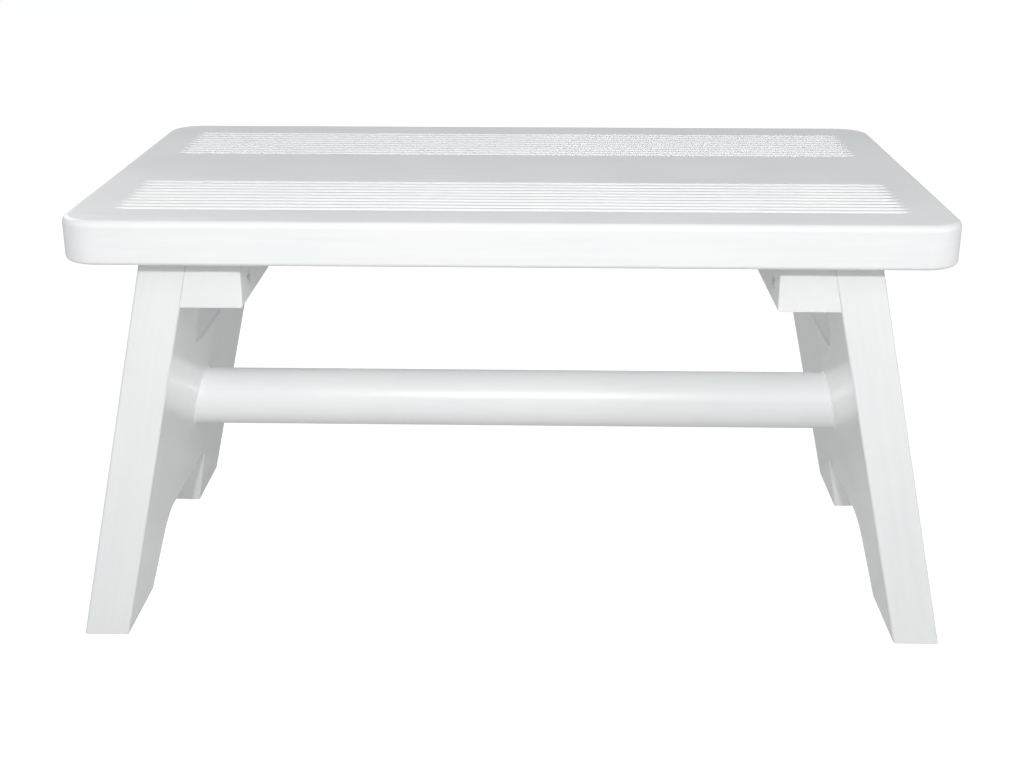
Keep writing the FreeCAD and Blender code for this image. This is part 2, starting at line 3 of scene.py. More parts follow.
import bmesh
import bpy
from mathutils import Matrix, Vector


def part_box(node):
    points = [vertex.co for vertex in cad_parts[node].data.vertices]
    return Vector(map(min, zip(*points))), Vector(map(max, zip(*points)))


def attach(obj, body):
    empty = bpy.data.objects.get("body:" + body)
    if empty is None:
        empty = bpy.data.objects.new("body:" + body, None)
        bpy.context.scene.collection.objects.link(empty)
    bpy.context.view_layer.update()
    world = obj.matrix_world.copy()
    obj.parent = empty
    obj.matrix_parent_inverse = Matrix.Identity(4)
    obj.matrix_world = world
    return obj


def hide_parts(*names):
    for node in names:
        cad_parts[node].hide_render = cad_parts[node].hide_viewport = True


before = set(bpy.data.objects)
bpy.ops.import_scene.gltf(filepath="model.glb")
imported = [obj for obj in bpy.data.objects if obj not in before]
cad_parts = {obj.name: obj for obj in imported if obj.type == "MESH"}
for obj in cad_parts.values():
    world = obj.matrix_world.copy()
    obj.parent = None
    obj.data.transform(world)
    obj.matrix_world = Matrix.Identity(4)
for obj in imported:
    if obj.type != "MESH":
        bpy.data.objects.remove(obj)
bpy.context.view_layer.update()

MM = 0.001

# ---------------------------------------------------------------- sizes, read from the frame

seat_low, seat_high = (Vector(corner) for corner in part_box("seat_board"))
leg_high = Vector(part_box("right_leg")[1])
cleat_low, cleat_high = (Vector(corner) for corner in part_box("right_cleat"))
rail_low, rail_high = (Vector(corner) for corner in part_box("stretcher"))
plug_low, plug_high = (Vector(corner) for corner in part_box("right_rail_plug"))

SEAT_CORNER = 17 * MM
SEAT_TOP_ROUND = 3 * MM
SEAT_BOTTOM_ROUND = 2 * MM
CORNER_STEPS = 14
TOP_ROUND_STEPS = 8
BOTTOM_ROUND_STEPS = 6

GROOVE_COUNT = 10
GROOVE_PITCH = 6 * MM
GROOVE_RADIUS = 1.6 * MM
GROOVE_HALF_LENGTH = 182 * MM
GROOVE_RUN_OUT = 8 * MM
GROOVE_LIP = 0.7 * MM
GROOVE_FILL = 0.85
GROOVE_STEPS = (0.0, 0.25, 0.48, 0.66, 0.78, 0.86, 0.94, 1.03, 1.14, 1.28, 1.44)
SHOULDER_COLUMNS = 12
RUN_OUT_COLUMNS = 8
BAND_CENTRE = 62 * MM

SPLAY = math.radians(12.9)
LEG_THICKNESS = 21.4 * MM
LEG_ROUND = 1.5 * MM
FOOT_ROUND_SHARE = 0.35
CLEAT_SEAM_SHARE = 0.03
ARCH_FLOOR_HALF = 54 * MM
ARCH_TOP_HALF = 43 * MM
ARCH_RISE = 39 * MM
ARCH_CORNER = 14 * MM
SLOT_HALF_LENGTH = 50 * MM
SLOT_RADIUS = 17.5 * MM
SLOT_CENTRE = 152 * MM
ARCH_STEPS = 14
SLOT_STEPS = 32

CLEAT_ROUND = 1.2 * MM
CLEAT_END_SHARE = 0.4
HEAD_HOLE_RADIUS = 4.03 * MM
SHANK_HOLE_RADIUS = 2.05 * MM
HEAD_RECESS = 0.35 * MM
COUNTERSINK_DEPTH = 2.4 * MM
SHANK_HOLE_DEPTH = 5 * MM

RAIL_BEAD_REACH = 7 * MM
RAIL_END_RUN = 16 * MM
RAIL_SPANS = 40
RAIL_SEGMENTS = 96
# Distance from the leg's face and extra radius of the lacquer bead, both in millimetres.
RAIL_BEAD = [
    (6.0, 0.0), (2.2, 0.0), (1.2, 0.06), (0.6, 0.22), (0.25, 0.5), (0.02, 0.95), (-0.4, 1.1),
]

PLUG_GAP = 0.1 * MM
PLUG_RIM = 0.5 * MM
PLUG_SUNK = 0.35 * MM
PLUG_DISH = 0.05 * MM
PLUG_DEPTH = 5 * MM
PLUG_RIM_STEPS = 6
PLUG_SEGMENTS = 48

NEAR = 1e-6
SHARP_ANGLE = math.radians(32)
RIM_ANGLE = math.radians(40)

RAIL_RADIUS = (rail_high.z - rail_low.z) / 2
RAIL_HEIGHT = (rail_high.z + rail_low.z) / 2
PLUG_RADIUS = (plug_high.y - plug_low.y) / 2

SEAT_UNDER = seat_low.z
LEG_FOOT_OUTER = leg_high.x
LEG_FOOT_INNER = LEG_FOOT_OUTER - LEG_THICKNESS / math.cos(SPLAY)
LEG_HALF_DEPTH = leg_high.y


# ---------------------------------------------------------------- mesh helpers

def new_piece(name, bm):
    mesh = bpy.data.meshes.new(name)
    bm.normal_update()
    bm.to_mesh(mesh)
    bm.free()
    piece = bpy.data.objects.new(name, mesh)
    bpy.context.scene.collection.objects.link(piece)
    for polygon in mesh.polygons:
        polygon.use_smooth = True
    return piece


def settle(piece):
    """Replace a piece's mesh by the result of its modifiers."""
    graph = bpy.context.evaluated_depsgraph_get()
    result = bpy.data.meshes.new_from_object(piece.evaluated_get(graph))
    piece.modifiers.clear()
    piece.data = result
    return piece


def add_bevel(piece, width, segments=4):
    bevel = piece.modifiers.new("bevel", "BEVEL")
    bevel.width = width
    bevel.segments = segments
    bevel.limit_method = "WEIGHT"
    bevel.use_clamp_overlap = False


def mark_sharp(piece, angle=SHARP_ANGLE):
    """Keep the edges that have no rounding crisp."""
    bm = bmesh.new()
    bm.from_mesh(piece.data)
    for edge in bm.edges:
        edge.smooth = edge.calc_face_angle(0) < angle
    bm.to_mesh(piece.data)
    bm.free()


def add_weighted_normals(piece):
    normals = piece.modifiers.new("normals", "WEIGHTED_NORMAL")
    normals.mode = "FACE_AREA"
    normals.weight = 50
    normals.keep_sharp = True


def cut_away(piece, cutters):
    """Subtract closed cutter objects and then remove them from the scene."""
    for cutter in cutters:
        step = piece.modifiers.new("cut", "BOOLEAN")
        step.operation = "DIFFERENCE"
        step.solver = "EXACT"
        step.object = cutter
    settle(piece)
    for cutter in cutters:
        bpy.data.objects.remove(cutter, do_unlink=True)


def arc_points(centre, radius, start, end, steps):
    """Points on an arc in the plane, angles in degrees, both ends included."""
    points = []
    for i in range(steps + 1):
        angle = math.radians(start + (end - start) * i / steps)
        points.append((centre[0] + radius * math.cos(angle), centre[1] + radius * math.sin(angle)))
    return points


def lathe(name, rings, segments, place):
    """A turned solid: rings are (distance along the axis, radius), and place(distance, a, b)
    gives the point at that distance and at sideways offsets a and b."""
    bm = bmesh.new()
    loops = []
    for distance, radius in rings:
        loop = []
        for k in range(segments):
            angle = 2 * math.pi * k / segments
            point = place(distance, radius * math.cos(angle), radius * math.sin(angle))
            loop.append(bm.verts.new(point))
        loops.append(loop)
    for first, second in zip(loops, loops[1:]):
        for k in range(segments):
            m = (k + 1) % segments
            bm.faces.new((first[k], first[m], second[m], second[k]))
    bm.faces.new(list(reversed(loops[0])))
    bm.faces.new(loops[-1])
    bmesh.ops.recalc_face_normals(bm, faces=bm.faces)
    return new_piece(name, bm)


# ---------------------------------------------------------------- seat board

def groove_depth(distance):
    """Depth of a groove at a distance from its centre line.  The lacquer softens the lips and
    fills the bottom a little."""
    inner = GROOVE_RADIUS - GROOVE_LIP / 2
    outer = GROOVE_RADIUS + GROOVE_LIP
    if distance >= outer:
        return 0.0
    if distance <= inner:
        return GROOVE_FILL * math.sqrt(GROOVE_RADIUS ** 2 - distance ** 2)
    start = GROOVE_FILL * math.sqrt(GROOVE_RADIUS ** 2 - inner ** 2)
    share = (outer - distance) / (outer - inner)
    return start * share ** 2


def groove_lines():
    """Centre lines of all grooves, front to back."""
    lines = []
    half_band = GROOVE_PITCH * (GROOVE_COUNT - 1) / 2
    for side in (-1, 1):
        for i in range(GROOVE_COUNT):
            lines.append(side * BAND_CENTRE - half_band + GROOVE_PITCH * i)
    return lines


def seat_top_depth(x, y, lines):
    """Depth of the top at a point.  The cutter lifts out gently at both ends of a groove."""
    nearest = min(lines, key=lambda line: abs(line - y))
    share = (abs(x) - GROOVE_HALF_LENGTH + GROOVE_RUN_OUT) / GROOVE_RUN_OUT
    lift = GROOVE_RADIUS * max(0.0, share)
    return max(0.0, groove_depth(abs(y - nearest)) - lift)


def seat_grid_lines(half_x, half_y, lines):
    """Grid positions on the top: close together over each groove and at the groove ends."""
    ys = {-half_y, half_y, 0.0}
    for line in lines:
        for step in GROOVE_STEPS:
            ys.add(round(line + step * GROOVE_RADIUS, 7))
            ys.add(round(line - step * GROOVE_RADIUS, 7))
    shoulder = GROOVE_HALF_LENGTH - GROOVE_RUN_OUT
    xs = set()
    for i in range(SHOULDER_COLUMNS + 1):
        xs.add(round(-shoulder + 2 * shoulder * i / SHOULDER_COLUMNS, 7))
    for i in range(1, RUN_OUT_COLUMNS + 1):
        for side in (-1, 1):
            xs.add(round(side * (shoulder + GROOVE_RUN_OUT * i / RUN_OUT_COLUMNS), 7))
    xs |= {-half_x, half_x}
    return sorted(xs), sorted(ys)


def make_seat():
    """The board's top is a fine grid that dips into every groove.  Rings round it make the rounded
    corners, the rounded edges, the sides and the underside."""
    half_width = seat_high.x
    half_depth = seat_high.y
    half_x = half_width - SEAT_CORNER
    half_y = half_depth - SEAT_CORNER
    lines = groove_lines()
    xs, ys = seat_grid_lines(half_x, half_y, lines)
    bm = bmesh.new()
    grid = {}
    for i, x in enumerate(xs):
        for j, y in enumerate(ys):
            z = seat_high.z - seat_top_depth(x, y, lines)
            grid[i, j] = bm.verts.new((x, y, z))
    last_i = len(xs) - 1
    last_j = len(ys) - 1
    for i in range(last_i):
        for j in range(last_j):
            bm.faces.new((grid[i, j], grid[i + 1, j], grid[i + 1, j + 1], grid[i, j + 1]))

    # The outline, one entry per point: the grid vertex it joins, and the direction outwards.
    outline = []

    def corner(i, j, start):
        for k in range(1, CORNER_STEPS):
            angle = math.radians(start + 90 * k / CORNER_STEPS)
            outline.append((grid[i, j], Vector((math.cos(angle), math.sin(angle)))))

    for i in range(last_i + 1):
        outline.append((grid[i, 0], Vector((0, -1))))
    corner(last_i, 0, -90)
    for j in range(last_j + 1):
        outline.append((grid[last_i, j], Vector((1, 0))))
    corner(last_i, last_j, 0)
    for i in range(last_i, -1, -1):
        outline.append((grid[i, last_j], Vector((0, 1))))
    corner(0, last_j, 90)
    for j in range(last_j, -1, -1):
        outline.append((grid[0, j], Vector((-1, 0))))
    corner(0, 0, 180)

    profile = [(SEAT_TOP_ROUND, 0.0)]
    for k in range(1, TOP_ROUND_STEPS + 1):
        angle = math.radians(90 * k / TOP_ROUND_STEPS)
        inset = SEAT_TOP_ROUND * (1 - math.sin(angle))
        profile.append((inset, -SEAT_TOP_ROUND * (1 - math.cos(angle))))
    thickness = seat_high.z - seat_low.z
    for k in range(BOTTOM_ROUND_STEPS + 1):
        angle = math.radians(90 * k / BOTTOM_ROUND_STEPS)
        inset = SEAT_BOTTOM_ROUND * (1 - math.cos(angle))
        profile.append((inset, -thickness + SEAT_BOTTOM_ROUND * (1 - math.sin(angle))))

    previous = [anchor for anchor, _ in outline]
    count = len(outline)
    for inset, drop in profile:
        ring = []
        for anchor, outward in outline:
            reach = SEAT_CORNER - inset
            ring.append(bm.verts.new((
                anchor.co.x + outward.x * reach,
                anchor.co.y + outward.y * reach,
                seat_high.z + drop,
            )))
        for k in range(count):
            m = (k + 1) % count
            corners = [previous[k], previous[m], ring[m], ring[k]]
            unique = list(dict.fromkeys(corners))
            if len(unique) > 2:
                bm.faces.new(unique)
        previous = ring
    bm.faces.new(previous)
    bmesh.ops.recalc_face_normals(bm, faces=bm.faces)
    piece = new_piece("seat_board_lacquered", bm)
    add_weighted_normals(piece)
    return settle(piece)


# ---------------------------------------------------------------- legs

def leg_place(side):
    """Board coordinates of a leg: depth outwards from the inner face, y, and height up its slope."""
    inner_foot = Vector((side * LEG_FOOT_INNER, 0, 0))
    outward = Vector((side * math.cos(SPLAY), 0, math.sin(SPLAY)))
    up_slope = Vector((-side * math.sin(SPLAY), 0, math.cos(SPLAY)))

    def place(depth, y, height):
        return inner_foot + outward * depth + up_slope * height + Vector((0, y, 0))

    return place


def arch_side_points():
    """The arch from its top middle to the foot, with its rounded corner."""
    run = ARCH_FLOOR_HALF - ARCH_TOP_HALF
    lean = math.atan2(run, ARCH_RISE)
    centre_height = ARCH_RISE - ARCH_CORNER
    side_at_centre = ARCH_FLOOR_HALF - run * centre_height / ARCH_RISE
    centre_y = side_at_centre - ARCH_CORNER / math.cos(lean)
    points = [(0.0, ARCH_RISE)]
    points += arc_points((centre_y, centre_height), ARCH_CORNER, 90, math.degrees(lean), ARCH_STEPS)
    return points


def leg_half_outline():
    """Half of the board's outline for y > 0, except the ends, as (y, height, kind)."""
    points = [(y, height, "rim") for y, height in arch_side_points()]
    points.append((ARCH_FLOOR_HALF, 0.0, "foot"))
    points.append((LEG_HALF_DEPTH, 0.0, "foot"))
    cleat_foot = cleat_low.z / math.cos(SPLAY)
    points.append((LEG_HALF_DEPTH, cleat_foot, "rim"))
    points.append((LEG_HALF_DEPTH, 1.0, "top"))
    points.append((0.0, 1.0, "top"))
    slot_top = SLOT_CENTRE + SLOT_RADIUS
    slot_foot = SLOT_CENTRE - SLOT_RADIUS
    centre = (SLOT_HALF_LENGTH - SLOT_RADIUS, SLOT_CENTRE)
    points.append((0.0, slot_top, "rim"))
    slot_end = arc_points(centre, SLOT_RADIUS, 90, -90, SLOT_STEPS)
    points += [(y, height, "rim") for y, height in slot_end]
    points.append((0.0, slot_foot, "rim"))
    return points


def end_height(kind, depth):
    """Where the level cut at the foot or at the top crosses the board at a depth."""
    level = 0.0 if kind == "foot" else SEAT_UNDER
    return (level - depth * math.sin(SPLAY)) / math.cos(SPLAY)


def arch_spread(depth):
    """Half-width of the arch at the level foot cut, which lies further down on the outer face."""
    slope = (ARCH_FLOOR_HALF - ARCH_TOP_HALF) / ARCH_RISE
    return ARCH_FLOOR_HALF - slope * end_height("foot", depth)


def leg_round_share(edge):
    """How much of the leg's rounding an edge gets, from 0 to 1."""
    first, second = edge.verts
    heights = (first.co.z, second.co.z)
    if min(heights) > SEAT_UNDER - 1e-5:
        return 0.0
    if max(heights) < 1e-5:
        return FOOT_ROUND_SHARE
    if edge.calc_face_angle(0) < RIM_ANGLE:
        return 0.0
    at_side = abs(first.co.y) > LEG_HALF_DEPTH - NEAR
    along_side = at_side and abs(first.co.y - second.co.y) < NEAR
    splay_shift = first.co.z * math.tan(SPLAY)
    faces_inwards = abs(first.co.x) < LEG_FOOT_OUTER - splay_shift - 1 * MM
    if along_side and faces_inwards and min(heights) > cleat_low.z - 1e-5:
        return CLEAT_SEAM_SHARE
    return 1.0


def make_leg(side, name):
    """A splayed plank with its arch and hand slot, a hole for the plug and eased edges."""
    place = leg_place(side)
    half = leg_half_outline()
    bm = bmesh.new()
    weight = bm.edges.layers.float.new("bevel_weight_edge")
    verts = {}

    def vertex(layer, mirror, index):
        y, height, kind = half[index]
        depth = LEG_THICKNESS * layer
        if kind in ("foot", "top"):
            height = end_height(kind, depth)
        if kind == "foot" and y < LEG_HALF_DEPTH:
            y = arch_spread(depth)
        key = (layer, round(mirror * y, 7), round(height, 7))
        if key not in verts:
            verts[key] = bm.verts.new(place(depth, mirror * y, height))
        return verts[key]

    count = len(half)
    seams = set()
    for mirror in (1, -1):
        inner = [vertex(0, mirror, i) for i in range(count)]
        outer = [vertex(1, mirror, i) for i in range(count)]
        bm.faces.new(inner)
        bm.faces.new(list(reversed(outer)))
        for i in range(count):
            m = (i + 1) % count
            on_seam = abs(half[i][0]) < 1e-9 and abs(half[m][0]) < 1e-9
            if on_seam:
                seams.add(frozenset((inner[i], inner[m])))
                seams.add(frozenset((outer[i], outer[m])))
            else:
                bm.faces.new((inner[i], outer[i], outer[m], inner[m]))
    bmesh.ops.recalc_face_normals(bm, faces=bm.faces)

    for edge in bm.edges:
        if frozenset(edge.verts) not in seams:
            edge[weight] = leg_round_share(edge)
    piece = new_piece(name, bm)
    add_bevel(piece, LEG_ROUND)
    hole_radius = PLUG_RADIUS + PLUG_GAP
    rings = [
        (side * (plug_low.x + 1 * MM), hole_radius),
        (side * (plug_high.x + 6 * MM), hole_radius),
    ]
    hole = lathe("plug_cutter", rings, PLUG_SEGMENTS, lambda x, a, b: (x, a, RAIL_HEIGHT + b))
    cut_away(piece, [hole])
    mark_sharp(piece)
    add_weighted_normals(piece)
    return settle(piece)


# ---------------------------------------------------------------- cleats

def make_cleat(side, name):
    """A batten with a rounded lower corner and a countersunk seat for every screw."""
    top = SEAT_UNDER
    under = cleat_low.z
    inner = cleat_low.x
    slope = math.tan(SPLAY)
    section = [
        (inner, under), (LEG_FOOT_INNER - under * slope, under),
        (LEG_FOOT_INNER - top * slope, top), (inner, top),
    ]
    bm = bmesh.new()
    weight = bm.edges.layers.float.new("bevel_weight_edge")
    ends = []
    for y in (cleat_low.y, cleat_high.y):
        ends.append([bm.verts.new((side * x, y, z)) for x, z in section])
    front, rear = ends
    for i in range(4):
        m = (i + 1) % 4
        bm.faces.new((front[i], front[m], rear[m], rear[i]))
    bm.faces.new(front)
    bm.faces.new(list(reversed(rear)))
    bmesh.ops.recalc_face_normals(bm, faces=bm.faces)
    for edge in bm.edges:
        first, second = (vert.co for vert in edge.verts)
        long_edge = abs(first.y - second.y) > 1 * MM
        at_inner = abs(abs(first.x) - inner) < NEAR and abs(abs(second.x) - inner) < NEAR
        at_under = abs(first.z - under) < NEAR and abs(second.z - under) < NEAR
        if long_edge and at_inner and abs(first.z - under) < NEAR:
            edge[weight] = 1.0
        elif not long_edge and (at_inner or at_under):
            edge[weight] = CLEAT_END_SHARE
    piece = new_piece(name, bm)
    add_bevel(piece, CLEAT_ROUND, 5)
    cutters = []
    for head, direction in screw_heads(side):
        cutters.append(head_cutter(head, direction))
    cut_away(piece, cutters)
    mark_sharp(piece)
    add_weighted_normals(piece)
    return settle(piece)


def screw_heads(side):
    """Place and direction of every screw head in one cleat, from the screws' own boxes."""
    prefix = "right" if side > 0 else "left"
    heads = []
    low, high = (Vector(corner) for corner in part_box(prefix + "_leg_screws"))
    centre = (low + high) / 2
    reach = high.y - centre.y - (high.z - low.z) / 2
    for place in (-1, 0, 1):
        heads.append((Vector((side * cleat_low.x, place * reach, centre.z)), Vector((side, 0, 0))))
    low, high = (Vector(corner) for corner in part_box(prefix + "_seat_screws"))
    centre = (low + high) / 2
    reach = high.y - centre.y - (high.x - low.x) / 2
    for place in (-1, 1):
        heads.append((Vector((centre.x, place * reach, cleat_low.z)), Vector((0, 0, 1))))
    return heads


def head_cutter(head, direction):
    """The recess, countersink and shank hole of one screw, as a cutter."""
    across = Vector((0, 1, 0))
    other = direction.cross(across)
    rings = [
        (-1 * MM, HEAD_HOLE_RADIUS), (HEAD_RECESS, HEAD_HOLE_RADIUS),
        (COUNTERSINK_DEPTH, SHANK_HOLE_RADIUS), (SHANK_HOLE_DEPTH, SHANK_HOLE_RADIUS),
    ]
    return lathe(
        "head_cutter", rings, 40,
        lambda d, a, b: head + direction * d + across * a + other * b,
    )


# ---------------------------------------------------------------- rail and plugs

def make_rail():
    """The rail swells by a hair of dried lacquer where it meets each sloping leg."""
    middle = LEG_FOOT_INNER - RAIL_HEIGHT * math.tan(SPLAY)

    def place(distance, a, b):
        z = RAIL_HEIGHT + b
        leg_face = LEG_FOOT_INNER - z * math.tan(SPLAY)
        if abs(distance) > middle - RAIL_BEAD_REACH:
            side = 1 if distance > 0 else -1
            x = side * (leg_face - (middle - abs(distance)))
        else:
            x = distance
        return Vector((x, a, z))

    right_end = [(middle - gap * MM, RAIL_RADIUS + grow * MM) for gap, grow in RAIL_BEAD]
    left_end = [(-distance, radius) for distance, radius in reversed(right_end)]
    straight = middle - RAIL_END_RUN
    run = []
    for i in range(RAIL_SPANS + 1):
        run.append((-straight + 2 * straight * i / RAIL_SPANS, RAIL_RADIUS))
    return lathe("stretcher_lacquered", left_end + run + right_end, RAIL_SEGMENTS, place)


def make_plug(side, name):
    """A round plug with a softened rim, its face parallel to the leg and just below it."""
    def place(distance, a, b):
        z = RAIL_HEIGHT + b
        face = LEG_FOOT_OUTER - z * math.tan(SPLAY)
        return Vector((side * (face - distance), a, z))

    rings = [(PLUG_DEPTH, PLUG_RADIUS)]
    for k in range(PLUG_RIM_STEPS + 1):
        angle = math.radians(90 * k / PLUG_RIM_STEPS)
        distance = PLUG_SUNK + PLUG_RIM * (1 - math.sin(angle))
        rings.append((distance, PLUG_RADIUS - PLUG_RIM * (1 - math.cos(angle))))
    rings.append((PLUG_SUNK - PLUG_DISH, PLUG_RADIUS * 0.5))
    return lathe(name, rings, PLUG_SEGMENTS, place)


# ---------------------------------------------------------------- materials

def node_maker(material):
    material.use_nodes = True
    tree = material.node_tree
    tree.nodes.clear()

    def add(kind, inputs=None, **settings):
        node = tree.nodes.new(kind)
        for key, value in settings.items():
            setattr(node, key, value)
        for key, value in (inputs or {}).items():
            if isinstance(value, bpy.types.NodeSocket):
                tree.links.new(value, node.inputs[key])
            else:
                node.inputs[key].default_value = value
        return node

    return add


def ramp(add, source, stops):
    """A colour ramp with the given (position, colour) stops."""
    node = add("ShaderNodeValToRGB", {"Fac": source})
    elements = node.color_ramp.elements
    while len(elements) < len(stops):
        elements.new(0.5)
    for element, (position, colour) in zip(elements, stops):
        element.position = position
        element.color = (*colour, 1)
    return node.outputs["Color"]


def lacquer(name, grain, tilt=0.0, seed=0.0, white=0.88, coat=0.3, polish=0.16, peel=0.1,
            relief=0.16):
    """White semi-gloss lacquer over close-grained wood.  grain is the axis of the fibres,
    white the brightness of the paint, coat the strength of its gloss, polish its blur, peel
    the depth of its dimples and relief how far the fibres show through."""
    material = bpy.data.materials.new(name)
    add = node_maker(material)
    place = add("ShaderNodeTexCoord").outputs["Object"]
    turned = add("ShaderNodeMapping", {
        "Vector": place, "Location": (seed, seed * 0.37, -seed * 0.61), "Rotation": (0, tilt, 0),
    }).outputs["Vector"]
    stretch = {"x": (12, 240, 240), "y": (240, 12, 240), "z": (240, 240, 12)}[grain]
    along = add("ShaderNodeMapping", {"Vector": turned, "Scale": stretch}).outputs["Vector"]
    fibres = add("ShaderNodeTexNoise", {
        "Vector": along, "Scale": 1.0, "Detail": 6.0, "Roughness": 0.62, "Distortion": 0.4,
    }).outputs["Fac"]
    broad = add("ShaderNodeTexNoise", {
        "Vector": turned, "Scale": 22.0, "Detail": 3.0, "Roughness": 0.5,
    }).outputs["Fac"]
    dimples = add("ShaderNodeTexNoise", {
        "Vector": turned, "Scale": 420.0, "Detail": 2.0, "Roughness": 0.45,
    }).outputs["Fac"]
    dim = (white * 0.96, white * 0.975, white * 0.98)
    bright = (white * 0.99, white, white)
    base = ramp(add, broad, [(0.3, dim), (0.7, bright)])
    veins = ramp(add, fibres, [(0.36, (0.955, 0.95, 0.935)), (0.6, (1, 1, 1))])
    grained_colour = link_mix(add, base, veins, 0.4, "MULTIPLY")
    edge = add("ShaderNodeNewGeometry").outputs["Pointiness"]
    edge_share = add("ShaderNodeMapRange", {
        "Value": edge, "From Min": 0.53, "From Max": 0.64, "To Min": 0.0, "To Max": 1.0,
    }).outputs["Result"]
    worn = add("ShaderNodeMath", {0: edge_share, 1: broad}, operation="MULTIPLY").outputs[0]
    worn_share = add("ShaderNodeMath", {0: worn, 1: 0.22}, operation="MULTIPLY").outputs[0]
    colour = link_mix(add, grained_colour, (0.78, 0.74, 0.66, 1), worn_share, "MIX")

    gloss = add("ShaderNodeMapRange", {
        "Value": broad, "From Min": 0.3, "From Max": 0.7, "To Min": 0.33, "To Max": 0.42,
    }).outputs["Result"]
    roughness = add("ShaderNodeMath", {0: gloss, 1: worn_share}, operation="ADD").outputs[0]
    low = add("ShaderNodeBump", {"Height": fibres, "Strength": relief, "Distance": 0.0003})
    mid = add("ShaderNodeBump", {
        "Height": dimples, "Strength": peel, "Distance": 0.0003, "Normal": low.outputs["Normal"],
    })
    shader = add("ShaderNodeBsdfPrincipled", {
        "Base Color": colour, "Roughness": roughness, "Normal": mid.outputs["Normal"],
        "IOR": 1.5, "Coat Weight": coat, "Coat Roughness": polish,
    })
    add("ShaderNodeOutputMaterial", {"Surface": shader.outputs["BSDF"]})
    return material


def link_mix(add, first, second, share, blend):
    """A colour mix node; its colour sockets share names with the others, so they go by place."""
    node = add("ShaderNodeMix", data_type="RGBA", blend_type=blend)
    tree = node.id_data
    sockets = {"factor": node.inputs[0], "a": node.inputs[6], "b": node.inputs[7]}
    for key, value in (("factor", share), ("a", first), ("b", second)):
        if isinstance(value, bpy.types.NodeSocket):
            tree.links.new(value, sockets[key])
        else:
            sockets[key].default_value = value
    return node.outputs[2]


def zinc():
    """Zinc-plated screws, dull and pale as if a little lacquer lay over the plating."""
    material = bpy.data.materials.new("zinc_plate")
    add = node_maker(material)
    place = add("ShaderNodeTexCoord").outputs["Object"]
    cloud = add("ShaderNodeTexNoise", {"Vector": place, "Scale": 700.0, "Detail": 4.0}).outputs["Fac"]
    fine = add("ShaderNodeTexNoise", {"Vector": place, "Scale": 4000.0, "Detail": 2.0}).outputs["Fac"]
    colour = ramp(add, cloud, [(0.3, (0.72, 0.73, 0.75)), (0.7, (0.88, 0.88, 0.88))])
    roughness = add("ShaderNodeMapRange", {
        "Value": fine, "From Min": 0.3, "From Max": 0.7, "To Min": 0.34, "To Max": 0.52,
    }).outputs["Result"]
    bump = add("ShaderNodeBump", {"Height": fine, "Strength": 0.25, "Distance": 0.00005})
    shader = add("ShaderNodeBsdfPrincipled", {
        "Base Color": colour, "Roughness": roughness, "Normal": bump.outputs["Normal"],
        "Metallic": 0.3,
    })
    add("ShaderNodeOutputMaterial", {"Surface": shader.outputs["BSDF"]})
    return material


def beech():
    """Bare beech with short dark flecks along Z."""
    material = bpy.data.materials.new("bare_beech")
    add = node_maker(material)
    place = add("ShaderNodeTexCoord").outputs["Object"]
    along = add("ShaderNodeMapping", {"Vector": place, "Scale": (900, 900, 90)}).outputs["Vector"]
    fibres = add("ShaderNodeTexNoise", {"Vector": along, "Scale": 1.0, "Detail": 5.0}).outputs["Fac"]
    flecks = add("ShaderNodeTexVoronoi", {"Vector": along, "Scale": 0.7}).outputs["Distance"]
    colour = ramp(add, fibres, [(0.3, (0.52, 0.36, 0.22)), (0.7, (0.72, 0.55, 0.37))])
    fleck_colour = ramp(add, flecks, [(0.0, (0.6, 0.5, 0.4)), (0.2, (1, 1, 1))])
    mixed = link_mix(add, colour, fleck_colour, 0.6, "MULTIPLY")
    roughness = add("ShaderNodeMapRange", {
        "Value": fibres, "From Min": 0.3, "From Max": 0.7, "To Min": 0.5, "To Max": 0.7,
    }).outputs["Result"]
    bump = add("ShaderNodeBump", {"Height": fibres, "Strength": 0.3, "Distance": 0.0001})
    shader = add("ShaderNodeBsdfPrincipled", {
        "Base Color": mixed, "Roughness": roughness, "Normal": bump.outputs["Normal"],
    })
    add("ShaderNodeOutputMaterial", {"Surface": shader.outputs["BSDF"]})
    return material


# ---------------------------------------------------------------- build and dress the object

def dress(piece, material):
    """Give a piece one material only."""
    piece.data.materials.clear()
    piece.data.materials.append(material)


def adopt(piece, material, node):
    """Dress a piece and let it stand for its CAD node."""
    dress(piece, material)
    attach(piece, "root")
    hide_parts(node)


seat_finish = lacquer("lacquer_seat", "x", seed=0.4, coat=0.08, polish=0.45, peel=0.03,
                      relief=0.04)
# The rail's lacquer is whiter (white 0.97) than the other parts' (0.88). This is partly a whiter coat
# of paint and partly painted light, brightening the rail as strong frontal light falling on it would.
rail_lacquer_painted_brighter = lacquer("lacquer_rail_painted_brighter", "x", seed=1.7, white=0.97, coat=0.3, polish=0.3, peel=0.06)
adopt(make_seat(), seat_finish, "seat_board")
adopt(make_rail(), rail_lacquer_painted_brighter, "stretcher")
for side, word in ((-1, "left"), (1, "right")):
    leg_finish = lacquer(f"lacquer_{word}_leg", "z", tilt=side * SPLAY, seed=2.9 + side, coat=1.0)
    cleat_finish = lacquer(f"lacquer_{word}_cleat", "y", seed=5.3 + side)
    adopt(make_leg(side, f"{word}_leg_lacquered"), leg_finish, f"{word}_leg")
    adopt(make_cleat(side, f"{word}_cleat_lacquered"), cleat_finish, f"{word}_cleat")
    adopt(make_plug(side, f"{word}_rail_plug_lacquered"), leg_finish, f"{word}_rail_plug")

screw_finish = zinc()
pin_finish = beech()
for word in ("left", "right"):
    for kind in ("leg_screws", "seat_screws", "rail_screw"):
        for material_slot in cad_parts[f"{word}_{kind}"].material_slots:
            material_slot.material = screw_finish
    for material_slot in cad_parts[f"{word}_dowels"].material_slots:
        material_slot.material = pin_finish


# ---------------------------------------------------------------- floor, light and camera

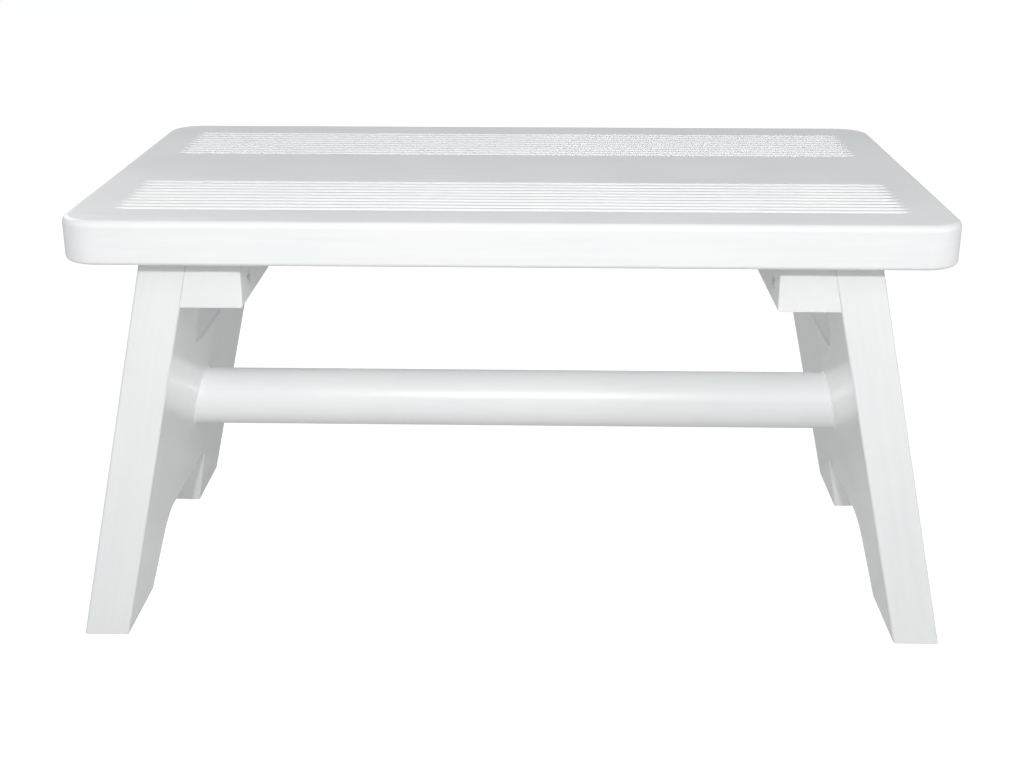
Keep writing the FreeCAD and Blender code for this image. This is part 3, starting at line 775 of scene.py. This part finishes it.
def make_floor():
    """A pale floor that looks white to the camera and only gives the object a soft glow."""
    bm = bmesh.new()
    half = 6.0
    corners = [(-half, -half), (half, -half), (half, half), (-half, half)]
    bm.faces.new([bm.verts.new((x, y, -0.2 * MM)) for x, y in corners])
    floor = new_piece("floor", bm)
    material = bpy.data.materials.new("pale_floor")
    add = node_maker(material)
    to_eye = add("ShaderNodeLightPath").outputs["Is Camera Ray"]
    strength = add("ShaderNodeMapRange", {
        "Value": to_eye, "From Min": 0.0, "From Max": 1.0, "To Min": 0.24, "To Max": 0.86,
    }).outputs["Result"]
    glow = add("ShaderNodeEmission", {"Color": (1, 1, 1, 1), "Strength": strength})
    paint = add("ShaderNodeBsdfDiffuse", {"Color": (0.36, 0.36, 0.36, 1)})
    both = add("ShaderNodeAddShader", {0: glow.outputs[0], 1: paint.outputs[0]})
    add("ShaderNodeOutputMaterial", {"Surface": both.outputs[0]})
    dress(floor, material)


def make_world():
    """Soft light from all round, which looks white to the camera and is dimmer on the object."""
    world = bpy.data.worlds.new("studio")
    bpy.context.scene.world = world
    world.use_nodes = True
    tree = world.node_tree
    background = tree.nodes["Background"]
    background.inputs["Color"].default_value = (0.955, 0.985, 1.0, 1)
    to_eye = tree.nodes.new("ShaderNodeLightPath")
    strength = tree.nodes.new("ShaderNodeMapRange")
    strength.inputs["To Min"].default_value = 0.36
    strength.inputs["To Max"].default_value = 1.05
    tree.links.new(to_eye.outputs["Is Camera Ray"], strength.inputs["Value"])
    tree.links.new(strength.outputs["Result"], background.inputs["Strength"])


def make_lamp(name, place, aim, size, power, colour=(1, 1, 1)):
    lamp = bpy.data.lights.new(name, "AREA")
    lamp.shape = "DISK"
    lamp.size = size
    lamp.energy = power
    lamp.color = colour
    holder = bpy.data.objects.new(name, lamp)
    holder.location = place
    holder.rotation_euler = (Vector(aim) - Vector(place)).to_track_quat("-Z", "Y").to_euler()
    bpy.context.scene.collection.objects.link(holder)


def make_camera():
    """A viewpoint in front of the bench, a little above it, looking down at it."""
    camera = bpy.data.cameras.new("camera")
    camera.sensor_fit = "HORIZONTAL"
    camera.sensor_width = 36
    camera.lens = 50.98
    camera.clip_start = 0.01
    holder = bpy.data.objects.new("camera", camera)
    yaw = math.radians(1.27)
    pitch = math.radians(20.58)
    roll = math.radians(0.04)
    turn = Matrix.Rotation(yaw, 4, "Z") @ Matrix.Rotation(math.pi / 2 - pitch, 4, "X")
    place = Matrix.Translation((0.01519, -0.72827, 0.36931))
    holder.matrix_world = place @ turn @ Matrix.Rotation(roll, 4, "Z")
    bpy.context.scene.collection.objects.link(holder)
    bpy.context.scene.camera = holder


LAMPS = [
    ("front_lamp", (0.0, -0.8, 0.575), (0, 0, 0.12), 0.05, 3.4),
    ("left_fill", (-1.6, -0.9, 0.9), (0, 0, 0.12), 1.0, 5.2),
    ("right_fill", (1.6, -0.9, 0.9), (0, 0, 0.12), 1.0, 10.5),
    ("top_lamp", (0.0, 0.2, 2.2), (0, 0, 0.1), 1.2, 3.0),
    ("rear_fill", (-1.3, 1.6, 1.1), (0, 0, 0.12), 1.0, 9.0),
]

make_floor()
make_world()
for lamp in LAMPS:
    make_lamp(*lamp)
make_camera()
bpy.context.scene.view_settings.view_transform = "Standard"
